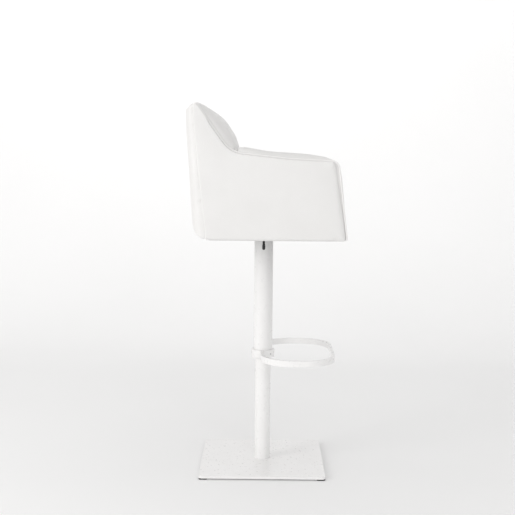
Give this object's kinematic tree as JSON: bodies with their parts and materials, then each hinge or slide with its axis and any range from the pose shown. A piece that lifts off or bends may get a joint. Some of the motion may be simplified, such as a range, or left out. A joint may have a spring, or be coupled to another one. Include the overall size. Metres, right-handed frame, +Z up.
{
  "type": "bar stool",
  "caption": "Swivel bar stool with a padded tub seat and arms, a gas-lift column of two telescoping tubes, a square floor plate and a looped footrest.",
  "frame": {"origin": "on the floor, on the column axis, which is the middle of the square floor plate", "axes": "+Z up along the column; -Y the way the sitter faces; +X the sitter's left"},
  "size_m": [0.544, 0.4804, 1.1735],
  "materials": {
    "white_leatherette": "satin white leatherette with a fine pebble grain",
    "white_welt": "satin white leatherette cord",
    "white_powder_coat": "satin white powder coat",
    "black_rubber": "matt black rubber",
    "black_plastic": "matt black nylon",
    "white_plastic": "matt natural acetal",
    "bright_steel": "zinc-plated steel",
    "chrome": "hard chrome, polished",
    "black_steel": "black painted pressed steel",
    "plywood": "raw birch plywood",
    "black_nonwoven": "black spun-bonded dust cloth"
  },
  "bodies": {
    "base": {"base_plate": "white_powder_coat", "corner_feet": "black_rubber", "base_tube": "white_powder_coat", "tube_plug": "bright_steel", "base_screws": "bright_steel", "guide_bush": "black_plastic", "lower_race": "bright_steel"},
    "spindle": {"ball_cage": "bright_steel", "upper_race": "bright_steel", "rubber_buffer": "black_rubber", "piston_rod": "chrome", "piston_head": "bright_steel", "rod_clip": "bright_steel"},
    "seat": {"gas_cylinder": "chrome", "outer_sleeve": "white_powder_coat", "sleeve_guide_ring": "black_plastic", "footrest_collar": "white_powder_coat", "footrest_loop": "white_powder_coat", "collar_screws": "bright_steel", "cylinder_socket": "black_steel", "mechanism_housing": "black_steel", "mechanism_plate": "black_steel", "mounting_bolts": "bright_steel", "t_nuts": "bright_steel", "seat_board": "plywood", "front_rail": "plywood", "side_board_right": "plywood", "side_board_left": "plywood", "back_board": "plywood", "side_panel_right": "white_leatherette", "side_panel_left": "white_leatherette", "arm_pad_right": "white_leatherette", "arm_pad_left": "white_leatherette", "back_panel": "white_leatherette", "back_cushion": "white_leatherette", "seat_cushion": "white_leatherette", "front_panel": "white_leatherette", "piping_right": "white_welt", "piping_left": "white_welt", "dust_cover": "black_nonwoven", "lever_pivot_pin": "bright_steel"},
    "lever": {"lever_rod": "black_steel", "lever_grip": "black_plastic"},
    "release": {"release_pin": "bright_steel"}
  },
  "joints": [
    {"name": "seat_swivel", "type": "hinge", "parent": "base", "child": "spindle", "pos_m": [0, 0, 0.034], "axis": [0, 0, 1], "continuous": true},
    {"name": "height_adjust", "type": "slide", "parent": "spindle", "child": "seat", "axis": [0, 0, 1], "range_m": [-0.22, 0]},
    {"name": "height_lever", "type": "hinge", "parent": "seat", "child": "lever", "pos_m": [-0.044, 0, 0.7515], "axis": [0, 1, 0], "range_deg": [0, 3.5], "stiffness_Nm_per_rad": 12, "springref_deg": -2.86},
    {"name": "valve_pin", "type": "slide", "parent": "seat", "child": "release", "axis": [0, 0, 1], "range_m": [-0.003, 0]}
  ],
  "couplings": [
    {"joint": "valve_pin", "follows": "height_lever", "m_per_rad": -0.044}
  ]
}
